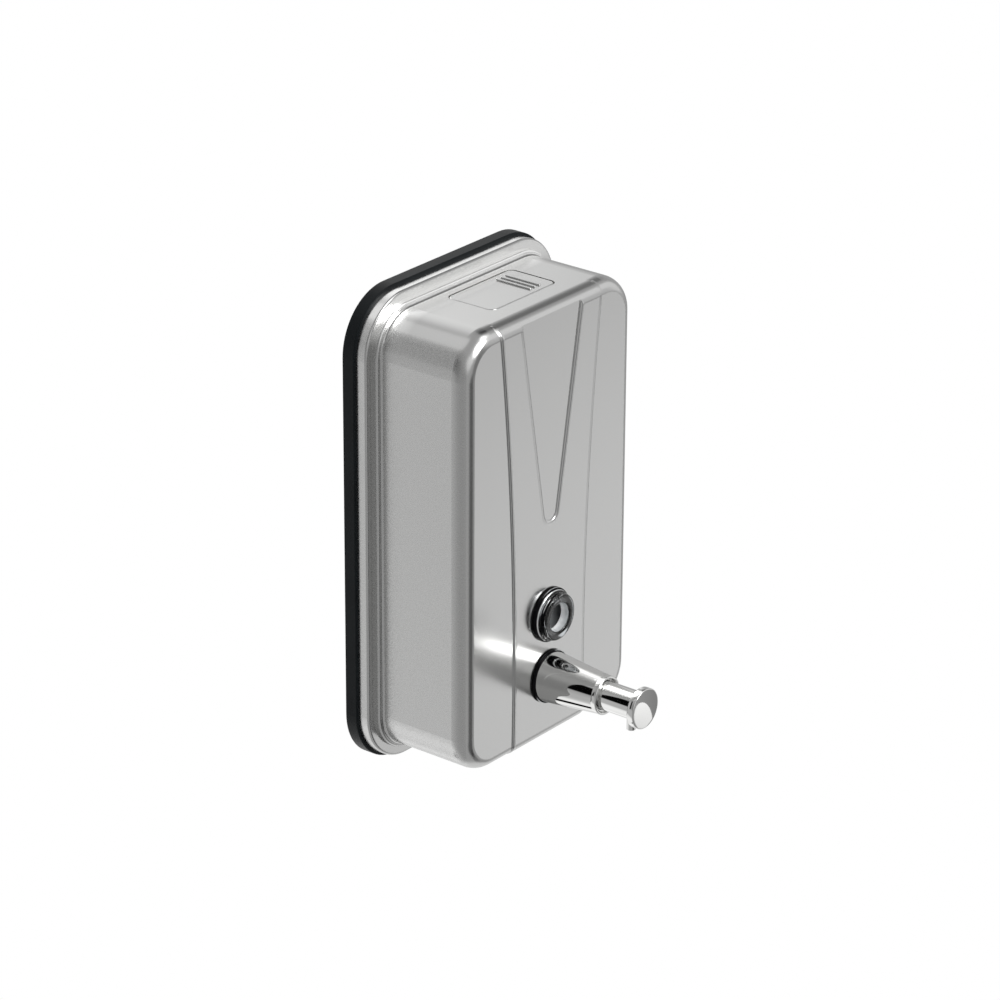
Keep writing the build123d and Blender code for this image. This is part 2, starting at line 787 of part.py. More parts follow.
# A coil from one reach to another along the pump axis, as one tube.
# Each quarter turn of the helix is a pair of arcs that meet tangent to each other.
def coil_path(start_reach, end_reach, coil_r, turns):
    rise = (end_reach - start_reach) / (turns * 2 * math.pi)
    steps = turns * 4

    def place(step):
        angle = step * math.pi / 2
        return Vector(
            coil_r * math.cos(angle),
            -front_depth - start_reach - rise * angle,
            pump_z + coil_r * math.sin(angle),
        )

    def heading(step):
        angle = step * math.pi / 2
        return Vector(-coil_r * math.sin(angle), -rise, coil_r * math.cos(angle)).normalized()

    arcs = []
    for step in range(steps):
        start, end = place(step), place(step + 1)
        leave, arrive = heading(step), heading(step + 1)
        span = end - start
        bend = 1 - leave.dot(arrive)
        along = span.dot(leave + arrive)
        reach = (-along + math.sqrt(along**2 + 2 * bend * span.dot(span))) / (2 * bend)
        middle = (start + end + (leave - arrive) * reach) * 0.5
        turn = (middle - start - leave * reach).normalized()
        arcs.append((start, middle, leave))
        arcs.append((middle, end, turn))
    return arcs


def wound_coil(start_reach, end_reach, coil_r, turns, wire_r):
    arcs = coil_path(start_reach, end_reach, coil_r, turns)
    first, _, first_heading = arcs[0]
    with BuildPart() as coil:
        with BuildLine() as path:
            for start, end, heading in arcs:
                TangentArc(start, end, tangent=heading)
        with BuildSketch(Plane(origin=first, z_dir=first_heading)):
            Circle(wire_r)
        sweep(path=path.wires()[0])
    return coil


# Least distance between the wire's surfaces on points of neighbouring turns
def least_gap(start_reach, end_reach, coil_r, turns, wire_r):
    points = [start for start, end, heading in coil_path(start_reach, end_reach, coil_r, turns)]
    half_turn = len(points) // turns // 2
    spans = [
        (points[late] - points[early]).length
        for early in range(len(points))
        for late in range(early + half_turn, len(points))
    ]
    return round(min(spans) - 2 * wire_r, 3)


return_winding = (
    barrel_floor + return_wire_r + rest_gap,
    piston_back - return_wire_r - rest_gap,
    return_coil_r,
    return_turns,
    return_wire_r,
)
return_spring = wound_coil(*return_winding)
keep(return_spring, "return_spring")

# Outlet valve: ball on the piston's seat, held by a light spring against the chamber's shoulder
seat_apex = spigot_front - seat_mouth_r / seat_slope
outlet_ball_reach = seat_apex + (outlet_ball_r + ball_seat_gap) / math.sin(math.radians(seat_angle))
with BuildPart() as outlet_ball:
    with BuildSketch(pump_section):
        with BuildLine():
            ThreePointArc(
                (outlet_ball_reach - outlet_ball_r, 0),
                (outlet_ball_reach, outlet_ball_r),
                (outlet_ball_reach + outlet_ball_r, 0),
            )
            Line((outlet_ball_reach + outlet_ball_r, 0), (outlet_ball_reach - outlet_ball_r, 0))
        make_face()
    revolve(axis=pump_axis)
keep(outlet_ball, "outlet_ball")

outlet_touch_r = outlet_ball_r + outlet_wire_r + rest_gap
outlet_winding = (
    outlet_ball_reach + math.sqrt(outlet_touch_r**2 - outlet_coil_r**2),
    chamber_front - outlet_wire_r - rest_gap,
    outlet_coil_r,
    outlet_turns,
    outlet_wire_r,
)
outlet_spring = wound_coil(*outlet_winding)
keep(outlet_spring, "outlet_spring")

# Inlet fitting: plug in the barrel's skirt, ball chamber with its seat, and an elbow down to a nipple
collar_back = skirt_back - inlet_collar
chamber_back = barrel_back - chamber_length
inlet_seat_depth = (chamber_r - inlet_port_r) / seat_slope
elbow_reach = chamber_back - inlet_seat_depth - elbow_wall - nipple_r
fitting_back = elbow_reach - nipple_wall_end
elbow_plane = Plane(
    origin=(0, -front_depth - elbow_reach, pump_z), x_dir=(1, 0, 0), z_dir=(0, 0, -1)
)
with BuildPart() as inlet_fitting:
    with BuildSketch(pump_section):
        with BuildLine():
            Polyline(
                (barrel_back, chamber_r),
                (barrel_back, barrel_bore_r - slip_fit),
                (skirt_back, barrel_bore_r - slip_fit),
                (skirt_back, barrel_r),
                (collar_back, barrel_r),
                (collar_back, inlet_body_r),
                (fitting_back, inlet_body_r),
                (fitting_back, 0),
                (elbow_reach - inlet_port_r, 0),
                (elbow_reach - inlet_port_r, inlet_port_r),
                (chamber_back - inlet_seat_depth, inlet_port_r),
                (chamber_back, chamber_r),
                close=True,
            )
        make_face()
    revolve(axis=pump_axis)
    with BuildSketch(elbow_plane):
        Circle(nipple_r)
    extrude(amount=nipple_length)
    with BuildSketch(elbow_plane):
        Circle(inlet_port_r)
    extrude(amount=nipple_length, mode=Mode.SUBTRACT)
    with BuildSketch(facing_front(pump_z, chamber_back)):
        Circle(inlet_port_r)
    extrude(amount=elbow_reach - chamber_back, mode=Mode.SUBTRACT)
keep(inlet_fitting, "inlet_fitting")

inlet_apex = chamber_back - chamber_r / seat_slope
inlet_ball_reach = inlet_apex + (inlet_ball_r + ball_seat_gap) / math.sin(math.radians(seat_angle))
with BuildPart() as inlet_ball:
    with BuildSketch(pump_section):
        with BuildLine():
            ThreePointArc(
                (inlet_ball_reach - inlet_ball_r, 0),
                (inlet_ball_reach, inlet_ball_r),
                (inlet_ball_reach + inlet_ball_r, 0),
            )
            Line((inlet_ball_reach + inlet_ball_r, 0), (inlet_ball_reach - inlet_ball_r, 0))
        make_face()
    revolve(axis=pump_axis)
keep(inlet_ball, "inlet_ball")

# Suction tube pushed over the nipple, down to just above the tank's floor
tube_top = nipple_length - tube_overlap
tube_end = pump_z - bottom_z - sheet - tube_floor_gap
with BuildPart() as suction_tube:
    with BuildSketch(elbow_plane.offset(tube_top)):
        Circle(nipple_r + slip_fit + tube_wall)
        Circle(nipple_r + slip_fit, mode=Mode.SUBTRACT)
    extrude(amount=tube_end - tube_top)
keep(suction_tube, "suction_tube")

print("body", round(body_width, 2), round(body_height, 2), "front", round(front_depth, 2))
print("hinge", round(hinge_x, 3), round(-lid_center_depth, 3), round(hinge_z, 3))
print("stroke", round(plunger_stroke, 3), "barrel floor", round(barrel_floor, 3))
print("inlet ball lift", round(barrel_back - inlet_ball_reach - inlet_ball_r, 3))
print("outlet ball", round(outlet_ball_reach, 3), "chamber front", round(chamber_front, 3))
print("least spring gaps", least_gap(*return_winding), least_gap(*outlet_winding))
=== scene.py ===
import json
import math

import bpy
import numpy as np
from mathutils import Matrix, Vector


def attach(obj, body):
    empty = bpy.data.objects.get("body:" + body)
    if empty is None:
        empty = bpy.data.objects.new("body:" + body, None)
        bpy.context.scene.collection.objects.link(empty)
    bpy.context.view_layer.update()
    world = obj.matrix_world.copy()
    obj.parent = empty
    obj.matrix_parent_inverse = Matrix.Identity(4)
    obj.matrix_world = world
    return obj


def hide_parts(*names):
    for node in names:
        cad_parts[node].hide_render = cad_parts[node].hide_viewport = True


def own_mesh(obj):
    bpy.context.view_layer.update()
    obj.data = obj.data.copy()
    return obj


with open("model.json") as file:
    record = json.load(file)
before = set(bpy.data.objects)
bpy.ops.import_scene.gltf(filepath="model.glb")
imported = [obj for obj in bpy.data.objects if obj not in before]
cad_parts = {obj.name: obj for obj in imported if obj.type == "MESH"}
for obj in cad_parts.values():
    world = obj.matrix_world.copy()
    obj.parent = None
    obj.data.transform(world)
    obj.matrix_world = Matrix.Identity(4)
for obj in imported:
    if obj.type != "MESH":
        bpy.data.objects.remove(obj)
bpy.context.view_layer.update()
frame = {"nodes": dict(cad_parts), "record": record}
nodes = frame["nodes"]
scene = bpy.context.scene
scene.view_settings.view_transform = "Standard"
print("frame loaded:", len(nodes), "nodes")


# helpers that grow a node tree
def addNode(tree, kind, operation=None):
    node = tree.nodes.new("ShaderNode" + kind)
    if operation:
        node.operation = operation
    return node


def feed(tree, socket, value):
    # a socket gets a link where it is given one, and a fixed number otherwise
    if isinstance(value, bpy.types.NodeSocket):
        tree.links.new(value, socket)
    else:
        socket.default_value = value


def mathNode(tree, operation, *values):
    step = addNode(tree, "Math", operation)
    for socket, value in zip(step.inputs, values):
        feed(tree, socket, value)
    return step.outputs["Value"]


def rangeNode(tree, value, fromSpan=(0, 1), toSpan=(0, 1), smooth=False):
    # carries a value from one span to another and holds it at both ends
    step = addNode(tree, "MapRange")
    if smooth:
        step.interpolation_type = "SMOOTHSTEP"
    for end, number in zip(("From Min", "From Max", "To Min", "To Max"), (*fromSpan, *toSpan)):
        step.inputs[end].default_value = number
    tree.links.new(value, step.inputs["Value"])
    return step.outputs["Result"]


def rampNode(tree, fac, stops):
    # stops are (position, colour) in rising order
    ramp = addNode(tree, "ValToRGB")
    elements = ramp.color_ramp.elements
    elements[0].position, elements[1].position = stops[0][0], stops[-1][0]
    for position, colour in stops[1:-1]:
        elements.new(position)
    for element, (position, colour) in zip(elements, stops):
        element.color = (*colour, 1)
    tree.links.new(fac, ramp.inputs["Fac"])
    return ramp.outputs["Color"]


def dotNode(tree, vector, axis):
    # how far a vector reaches along an axis
    facing = addNode(tree, "VectorMath", "DOT_PRODUCT")
    facing.inputs[1].default_value = axis
    tree.links.new(vector, facing.inputs[0])
    return facing.outputs["Value"]


def splitNode(tree, vector):
    split = addNode(tree, "SeparateXYZ")
    tree.links.new(vector, split.inputs["Vector"])
    return split.outputs


def mixShaders(tree, fac, first, second):
    pick = addNode(tree, "MixShader")
    for socket, source in zip(pick.inputs, (fac, first, second)):
        tree.links.new(source, socket)
    return pick.outputs["Shader"]


def emptyTree(owner):
    owner.use_nodes = True
    owner.node_tree.nodes.clear()
    return owner.node_tree


def newFinish(name, shine):
    # a principled shader with its fixed sockets set
    material = bpy.data.materials.new(name)
    material.use_nodes = True
    tree = material.node_tree
    shader = tree.nodes["Principled BSDF"]
    for socket, value in shine.items():
        shader.inputs[socket].default_value = value
    return material, tree, shader


def grainField(tree, scale, detail, stretch=(1, 1, 1)):
    # noise over object coordinates, stretched along an axis where the metal was rubbed
    place = addNode(tree, "TexCoord")
    turn = addNode(tree, "Mapping")
    turn.inputs["Scale"].default_value = stretch
    noise = addNode(tree, "TexNoise")
    noise.inputs["Scale"].default_value = scale
    noise.inputs["Detail"].default_value = detail
    tree.links.new(place.outputs["Object"], turn.inputs["Vector"])
    tree.links.new(turn.outputs["Vector"], noise.inputs["Vector"])
    return noise.outputs["Fac"]


fieldSpan = (0.3, 0.7)     # nearly all of a noise field lies in here


def spread(tree, fac, low, high):
    # brings a field to low..high
    return rangeNode(tree, fac, fieldSpan, (low, high))


def tint(tree, fac, dark, pale):
    return rampNode(tree, fac, [(fieldSpan[0], dark), (fieldSpan[1], pale)])


def relief(tree, shader, height, depth, strength):
    bump = addNode(tree, "Bump")
    bump.inputs["Distance"].default_value = depth
    feed(tree, bump.inputs["Strength"], strength)
    tree.links.new(height, bump.inputs["Height"])
    tree.links.new(bump.outputs["Normal"], shader.inputs["Normal"])


# plastics, rubber and plain metal share one make-up
finishLooks = {
    "blackPlastic": dict(shine={"Specular IOR Level": 0.1}, cloud=60, fine=2600,
                         dark=(0.004, 0.005, 0.006), pale=(0.006, 0.008, 0.009),
                         rough=(0.30, 0.42), relief=0.00004, strength=0.25),
    "blackRubber": dict(shine={"Specular IOR Level": 0.05}, cloud=140, fine=3000,
                        dark=(0.0012, 0.0012, 0.0016), pale=(0.003, 0.003, 0.0038),
                        rough=(0.10, 0.20), relief=0.00002, strength=0.2),
    # a near-white mirror metal for thin strips that stand in for glints: painted highlights
    "glintMirror": dict(shine={"Metallic": 1.0}, cloud=160, fine=1400,
                    dark=(0.86, 0.88, 0.89), pale=(0.93, 0.94, 0.95),
                    rough=(0.08, 0.16), relief=0.000004, strength=0.05),
    "whitePlastic": dict(shine={"Specular IOR Level": 0.5}, cloud=80, fine=2200,
                         dark=(0.72, 0.72, 0.68), pale=(0.80, 0.80, 0.77),
                         rough=(0.38, 0.5), relief=0.00003, strength=0.3),
    "tubePlastic": dict(shine={"Specular IOR Level": 0.5, "Transmission Weight": 0.35}, cloud=90, fine=1800,
                        dark=(0.70, 0.73, 0.70), pale=(0.80, 0.83, 0.81),
                        rough=(0.2, 0.3), relief=0.00002, strength=0.2),
    "plainSteel": dict(shine={"Metallic": 1.0}, cloud=260, fine=900, stretch=(1, 1, 0.08),
                       dark=(0.30, 0.30, 0.31), pale=(0.44, 0.44, 0.445),
                       rough=(0.26, 0.44), relief=0.00003, strength=0.35),
    "springSteel": dict(shine={"Metallic": 1.0}, cloud=200, fine=1500,
                        dark=(0.50, 0.50, 0.51), pale=(0.60, 0.60, 0.61),
                        rough=(0.16, 0.26), relief=0.00001, strength=0.2),
    "chrome": dict(shine={"Metallic": 1.0}, cloud=90, fine=700,
                   dark=(0.671, 0.671, 0.663), pale=(0.702, 0.702, 0.694),
                   rough=(0.02, 0.045), relief=0.000004, strength=0.04),
}


def mouldedFinish(name, look):
    # cloudy tint, uneven gloss and a fine relief
    material, tree, shader = newFinish(name, look["shine"])
    cloud = grainField(tree, look["cloud"], detail=3)
    fine = grainField(tree, look["fine"], detail=2, stretch=look.get("stretch", (1, 1, 1)))
    tree.links.new(tint(tree, cloud, look["dark"], look["pale"]), shader.inputs["Base Color"])
    tree.links.new(spread(tree, fine, *look["rough"]), shader.inputs["Roughness"])
    relief(tree, shader, fine, look["relief"], look["strength"])
    return material


finishes = {name: mouldedFinish(name, look) for name, look in finishLooks.items()}

# the case's sheet; the stops of its painted light and shade are (share of the span in depth, level), from the
# front towards the wall: levels above the plain level are painted light on the upper flange and the bend below
# it, and levels near 0 are painted shade, dark lines in the bends
satinLook = dict(tone=(0.60, 0.60, 0.595), maskEdge=(0.69, 0.76), sideTone=0.89, beadMiddle=0.5,
                 frontSpread=0.010, sideSpread=0.055, frontRough=(0.20, 0.24), sideRough=(0.23, 0.31),
                 grain=2300, fineGrain=4200, relief=0.00004, frontStrength=0.02, sideStrength=0.12,
                 paintedLightFrom=(0.084, 0.0965), paintedLightSpan=(-0.026, -0.004), plainLevel=0.45,
                 paintedLightStops=[(0.0, 0.45), (0.09, 0.45), (0.41, 0.95), (0.530, 1.0),
                              (0.545, 0.0), (0.573, 0.0), (0.579, 0.98), (0.683, 0.98),
                              (0.688, 0.05), (0.706, 0.05), (0.724, 0.88), (1.0, 0.88)])


def satinFinish(name, look):
    # pressed stainless sheet: smooth front and top, bead blasted sides told by the object-space normal
    material, tree, shader = newFinish(name, {"Metallic": 1.0})
    place = addNode(tree, "TexCoord").outputs
    away = mathNode(tree, "ABSOLUTE", splitNode(tree, place["Normal"])["X"])
    sideways = rangeNode(tree, away, look["maskEdge"], smooth=True)
    # each bead left one small dent: a cell with its own tone and gloss
    beads = addNode(tree, "TexVoronoi")
    beads.inputs["Scale"].default_value = look["grain"]
    tree.links.new(place["Object"], beads.inputs["Vector"])
    bead = addNode(tree, "SeparateColor")
    tree.links.new(beads.outputs["Color"], bead.inputs["Color"])
    centred = mathNode(tree, "SUBTRACT", bead.outputs["Red"], look["beadMiddle"])
    swing = rangeNode(tree, sideways, toSpan=(look["frontSpread"], look["sideSpread"]))
    blasted = rangeNode(tree, sideways, toSpan=(1, look["sideTone"]))
    dented = mathNode(tree, "MULTIPLY_ADD", centred, swing, blasted)
    # painted light and shade: the upper flange and the bend below it are painted brighter, with painted shade
    # as dark lines in the bends
    spot = splitNode(tree, place["Object"])
    upper = rangeNode(tree, spot["Z"], look["paintedLightFrom"], smooth=True)
    depth = rangeNode(tree, spot["Y"], look["paintedLightSpan"])
    level = rampNode(tree, depth, [(position, (grey,) * 3) for position, grey in look["paintedLightStops"]])
    gain = mathNode(tree, "SUBTRACT", level, look["plainLevel"])
    above = mathNode(tree, "MULTIPLY", gain, upper)
    paintedLight = mathNode(tree, "MULTIPLY_ADD", above, dented, dented)
    colour = addNode(tree, "VectorMath", "SCALE")
    colour.inputs[0].default_value = look["tone"]
    tree.links.new(paintedLight, colour.inputs["Scale"])
    tree.links.new(colour.outputs["Vector"], shader.inputs["Base Color"])
    # gloss and relief go from the front's values to the sides'
    fine = grainField(tree, look["fineGrain"], detail=1)
    mixRough = addNode(tree, "Mix")
    tree.links.new(sideways, mixRough.inputs["Factor"])
    tree.links.new(spread(tree, fine, *look["frontRough"]), mixRough.inputs["A"])
    tree.links.new(spread(tree, bead.outputs["Green"], *look["sideRough"]), mixRough.inputs["B"])
    tree.links.new(mixRough.outputs["Result"], shader.inputs["Roughness"])
    strength = rangeNode(tree, sideways, toSpan=(look["frontStrength"], look["sideStrength"]))
    relief(tree, shader, fine, look["relief"], strength)
    return material


finishes["satinSteel"] = satinFinish("satinSteel", satinLook)

acrylicLook = dict(shine={"Transmission Weight": 1.0, "IOR": 1.49, "Roughness": 0.01,
                          "Specular IOR Level": 0.35},
                   cloud=160, dark=(0.55, 0.57, 0.58), pale=(0.63, 0.65, 0.66))


def acrylicFinish(name, look):
    material, tree, shader = newFinish(name, look["shine"])
    cloud = grainField(tree, look["cloud"], detail=2)
    tree.links.new(tint(tree, cloud, look["dark"], look["pale"]), shader.inputs["Base Color"])
    return material


finishes["clearAcrylic"] = acrylicFinish("clearAcrylic", acrylicLook)

# the well of the level window: its wall is frosted, its floor is smoked; the wall is painted paler towards its
# deep end, a painted highlight along its foot, and the floor is painted darker towards +x, painted shade
frostStreaks = dict(scale=420, stretch=(1, 0.3, 1), shift=0.0012, midAt=0.55)
frostLooks = {
    "frostedWall": dict(axis="Y", deep=-0.0583, shallow=-0.0620, rough=(0.25, 0.40), gloss=0.4,
                        pale=(0.98, 0.99, 1.0), mid=(0.62, 0.64, 0.65), dark=(0.34, 0.36, 0.37)),
    "smokedFloor": dict(axis="X", deep=-0.0010, shallow=0.0046, rough=(0.30, 0.45), gloss=0.1,
                        pale=(0.095, 0.100, 0.102), mid=(0.045, 0.047, 0.048), dark=(0.003, 0.003, 0.004)),
}


def frostFinish(name, look, streaks):
    # painted light and shade: pale at the deep end of an axis, dark at the other, with cloudy streaks
    material, tree, shader = newFinish(name, {"Specular IOR Level": look["gloss"]})
    spot = splitNode(tree, addNode(tree, "TexCoord").outputs["Object"])
    cloud = grainField(tree, streaks["scale"], detail=2, stretch=streaks["stretch"])
    shifted = mathNode(tree, "MULTIPLY_ADD", cloud, streaks["shift"], spot[look["axis"]])
    depth = rangeNode(tree, shifted, (look["shallow"], look["deep"]))
    colour = rampNode(tree, depth, [(0, look["dark"]), (streaks["midAt"], look["mid"]), (1, look["pale"])])
    tree.links.new(colour, shader.inputs["Base Color"])
    tree.links.new(spread(tree, cloud, *look["rough"]), shader.inputs["Roughness"])
    return material


finishes.update({name: frostFinish(name, look, frostStreaks) for name, look in frostLooks.items()})

slotFinish = {"satin_steel": "satinSteel", "plain_steel": "plainSteel", "white_plastic": "whitePlastic",
              "black_rubber": "blackRubber", "chrome": "chrome", "spring_steel": "springSteel",
              "black_plastic": "blackPlastic", "clear_acrylic": "clearAcrylic", "tube_plastic": "tubePlastic"}
for part in frame["record"]["subparts"]:
    for slot in nodes[part["node"]].material_slots:
        slot.material = finishes[slotFinish[part["material_slot"]]]
print("finishes laid on:", len(finishes))


# the pressed case: the CAD sheet with its plain round nose drawn out to an ellipse, as deep drawn steel comes
caseShape = dict(halfWidth=0.0546, halfHeight=0.0963, corner=0.0176, front=0.0567, nose=0.005,
                 noseDeep=0.0074, noseWide=0.0055, settle=0.004, frontFrom=0.5)
hairline, weld = 1e-7, 1e-6     # lengths that count as nothing, and as one place


def insetOf(x, z, shape):
    # depth inside a rounded rectangle, and the outward heading of its nearest edge
    flatX = np.abs(x) - (shape["halfWidth"] - shape["corner"])
    flatZ = np.abs(z) - (shape["halfHeight"] - shape["corner"])
    outX, outZ = np.maximum(flatX, 0), np.maximum(flatZ, 0)
    reach = np.hypot(outX, outZ)
    inside = np.minimum(np.maximum(flatX, flatZ), 0)
    inset = shape["corner"] - reach - inside
    safe = np.maximum(reach, hairline)
    headX = np.where(reach > hairline, outX / safe, flatX >= flatZ) * np.sign(x)
    headZ = np.where(reach > hairline, outZ / safe, flatX < flatZ) * np.sign(z)
    return inset, headX, headZ


def drawnNose(points, normals, shape):
    # a point of the nose at angle u, r inside the arc, goes to angle u of an ellipse, r inside its half axes
    x, depth, z = points[:, 0], -points[:, 1], points[:, 2]
    inset, headX, headZ = insetOf(x, z, shape)
    nose, deep, wide = shape["nose"], shape["noseDeep"], shape["noseWide"]
    across, along = nose - inset, depth - (shape["front"] - nose)
    onNose = (across > -hairline) & (along > -hairline)
    radius = np.maximum(np.hypot(across, along), weld)
    angle = np.arctan2(along, across)
    sunk = nose - radius
    newInset = np.where(onNose, wide - (wide - sunk) * np.cos(angle), inset)
    newDepth = np.where(onNose, shape["front"] - deep + (deep - sunk) * np.sin(angle), depth)
    # the flat front next to the nose moves along with it and settles further in
    onFront = (across <= -hairline) & (along > shape["frontFrom"] * nose)
    ease = np.clip(1 + across / shape["settle"], 0, 1)
    newInset = np.where(onFront, inset + (wide - nose) * ease, newInset)
    moved = np.stack((x - headX * (newInset - inset), -newDepth, z - headZ * (newInset - inset)), 1)
    # normals turn as on an ellipse: each part is divided by the stretch along it
    outward = normals[:, 0] * headX + normals[:, 2] * headZ
    shrinkOut = np.where(onNose, radius / (wide - sunk), 1) - 1
    shrinkFront = np.where(onNose, radius / (deep - sunk), 1)
    turned = normals.copy()
    turned[:, 0] += headX * outward * shrinkOut
    turned[:, 2] += headZ * outward * shrinkOut
    turned[:, 1] *= shrinkFront
    return moved, turned / np.linalg.norm(turned, axis=1)[:, None]


def cornerArrays(node):
    # every triangle corner of a CAD node: where it is and which way its surface faces
    mesh = nodes[node].data
    at = np.empty(len(mesh.loops), dtype=np.int32)
    mesh.loops.foreach_get("vertex_index", at)
    spots = np.empty(len(mesh.vertices) * 3)
    mesh.vertices.foreach_get("co", spots)
    facing = np.empty(len(mesh.loops) * 3)
    mesh.corner_normals.foreach_get("vector", facing)
    return spots.reshape(-1, 3)[at], facing.reshape(-1, 3)


def joinedMesh(name, corners, facing=None):
    # corners at one place become one point; given normals are kept
    places = np.round(corners / weld).astype(np.int64)
    first, which = np.unique(places, axis=0, return_index=True, return_inverse=True)[1:]
    faces = which.reshape(-1, 3)
    whole = (faces[:, 0] != faces[:, 1]) & (faces[:, 1] != faces[:, 2]) & (faces[:, 2] != faces[:, 0])
    mesh = bpy.data.meshes.new(name)
    mesh.from_pydata(corners[first], [], faces[whole])
    mesh.shade_smooth()
    if facing is not None:
        mesh.normals_split_custom_set(facing.reshape(-1, 3, 3)[whole].reshape(-1, 3))
    piece = bpy.data.objects.new(name, mesh)
    scene.collection.objects.link(piece)
    return piece


corners, facing = drawnNose(*cornerArrays("housing"), caseShape)
caseShell = joinedMesh("caseShell", corners, facing)
caseShell.data.materials.append(finishes["satinSteel"])
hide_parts("housing")
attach(caseShell, "case")
print("case shell drawn:", len(caseShell.data.polygons), "faces")


# turned pieces: a rounded profile of (reach from the front, radius) carried round an axis out of the wall
frontDepth = 0.0572
sightZ, pumpZ = -0.0393, -0.0674     # heights of the axes of the level window and of the pump


def roundedProfile(corners, steps=7):
    # each corner (reach, radius, rounding) becomes an arc that is tangent to both its sides
    shape = np.array(corners, dtype=float)
    line = []
    for k, rounding in enumerate(shape[:, 2]):
        here = shape[k, :2]
        if rounding <= 0 or k in (0, len(shape) - 1):
            line.append(here[None])
            continue
        toLast, toNext = shape[k - 1, :2] - here, shape[k + 1, :2] - here
        toLast, toNext = toLast / np.linalg.norm(toLast), toNext / np.linalg.norm(toNext)
        half = 0.5 * math.acos(np.clip(toLast @ toNext, -1, 1))
        bisector = (toLast + toNext) / np.linalg.norm(toLast + toNext)
        middle = here + bisector * rounding / math.sin(half)
        sweep = np.linspace(-1, 1, steps) * (math.pi / 2 - half)
        tangent = np.array([-bisector[1], bisector[0]])
        if tangent @ toNext < 0:
            tangent = -tangent
        arc = tangent * np.sin(sweep)[:, None] - bisector * np.cos(sweep)[:, None]
        line.append(middle + rounding * arc)
    return np.concatenate(line)


def closedEnds(grid):
    # the first and last section shrink to their own middle
    ends = grid[[0, -1]].mean(1, keepdims=True).repeat(grid.shape[1], 1)
    return np.concatenate((ends[:1], grid, ends[1:]))


def gridPiece(name, grid, finish, wrapPath=False, smoothAngle=32):
    # grid[i, j] is section point j at path step i; the section closes on itself, an open path gets closed ends
    if not wrapPath:
        grid = closedEnds(grid)
    rows, steps = grid.shape[:2]
    pathSteps = np.arange(rows if wrapPath else rows - 1)
    i, j = (k.ravel() for k in np.meshgrid(pathSteps, np.arange(steps), indexing="ij"))
    nextI, nextJ = (i + 1) % rows, (j + 1) % steps
    a, b, c, d = i * steps + j, nextI * steps + j, nextI * steps + nextJ, i * steps + nextJ
    spots = grid.reshape(-1, 3)
    faces = np.stack((a, d, c, a, c, b), -1).reshape(-1, 3)
    first, second, third = (spots[faces[:, k]] for k in range(3))
    if np.einsum("ij,ij->i", first, np.cross(second, third)).sum() < 0:
        faces = faces[:, ::-1]     # the enclosed volume has to come out positive, so faces point outwards
    piece = joinedMesh(name, spots[faces.ravel()])
    piece.data.set_sharp_from_angle(angle=math.radians(smoothAngle))
    piece.data.materials.append(finish)
    return piece


def aroundAxis(radius, angle, reach, axisZ):
    # x = r sin a, z = axis + r cos a, y = -(front + reach)
    spots = radius * np.sin(angle), -frontDepth - reach, axisZ + radius * np.cos(angle)
    return np.stack(np.broadcast_arrays(*spots), -1)


def turnedPiece(name, profile, axisZ, finish, turns=112):
    # point (i, j): profile step j at angle i round the axis
    angle = np.linspace(0, 2 * math.pi, turns, endpoint=False)[:, None]
    reach, radius = profile[None, :, 0], profile[None, :, 1]
    return gridPiece(name, aroundAxis(radius, angle, reach, axisZ), finish, wrapPath=True)


# the level window: a clear stepped plug with a round well
lensShape = dict(axisZ=sightZ, corners=[
    (-0.0040, 0, 0), (-0.0040, 0.0063, 0), (-0.0085, 0.0063, 0.0001), (-0.0085, 0.0080, 0.0001),
    (0.0015, 0.0080, 0.0001), (0.0015, 0.0109, 0.0002), (0.0028, 0.0109, 0.0005), (0.0028, 0.0101, 0.0003),
    (0.0053, 0.0101, 0.0009), (0.0053, 0.0063, 0.0007), (0.0011, 0.0063, 0.0008), (0.0011, 0, 0)])
lensProfile = roundedProfile(lensShape["corners"])
sightPlug = turnedPiece("sightPlug", lensProfile, lensShape["axisZ"], finishes["clearAcrylic"])
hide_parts("sight_lens")
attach(sightPlug, "case")

# its well has a frosted wall with a black sleeve behind it as painted shade, and a bright mirror ring on the
# flange's edge is a painted highlight for the light that clear plastic gathers there
lensEdges = {
    "wellWall": dict(finish="frostedWall", corners=[(0.0012, 0.00626, 0), (0.0048, 0.00626, 0.0001),
                                                    (0.0048, 0.00614, 0.00008), (0.0012, 0.00595, 0.00005)]),
    "wellShadeSleeve": dict(finish="blackRubber", corners=[(0.0012, 0.006295, 0), (0.0048, 0.006295, 0),
                                                      (0.0048, 0.006265, 0), (0.0012, 0.006265, 0)]),
    "wellFloor": dict(finish="smokedFloor", corners=[(0.00100, 0, 0), (0.00100, 0.0058, 0),
                                                     (0.00120, 0.0058, 0.00005), (0.00120, 0, 0)]),
    "flangeEdgeGlint": dict(finish="glintMirror", corners=[(0.00152, 0.01055, 0.0001), (0.00152, 0.01105, 0.0002),
                                                  (0.00240, 0.01105, 0.0004), (0.00240, 0.01055, 0.0001)]),
}
for name, edge in lensEdges.items():
    piece = turnedPiece(name, roundedProfile(edge["corners"]), lensShape["axisZ"], finishes[edge["finish"]])
    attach(piece, "case")

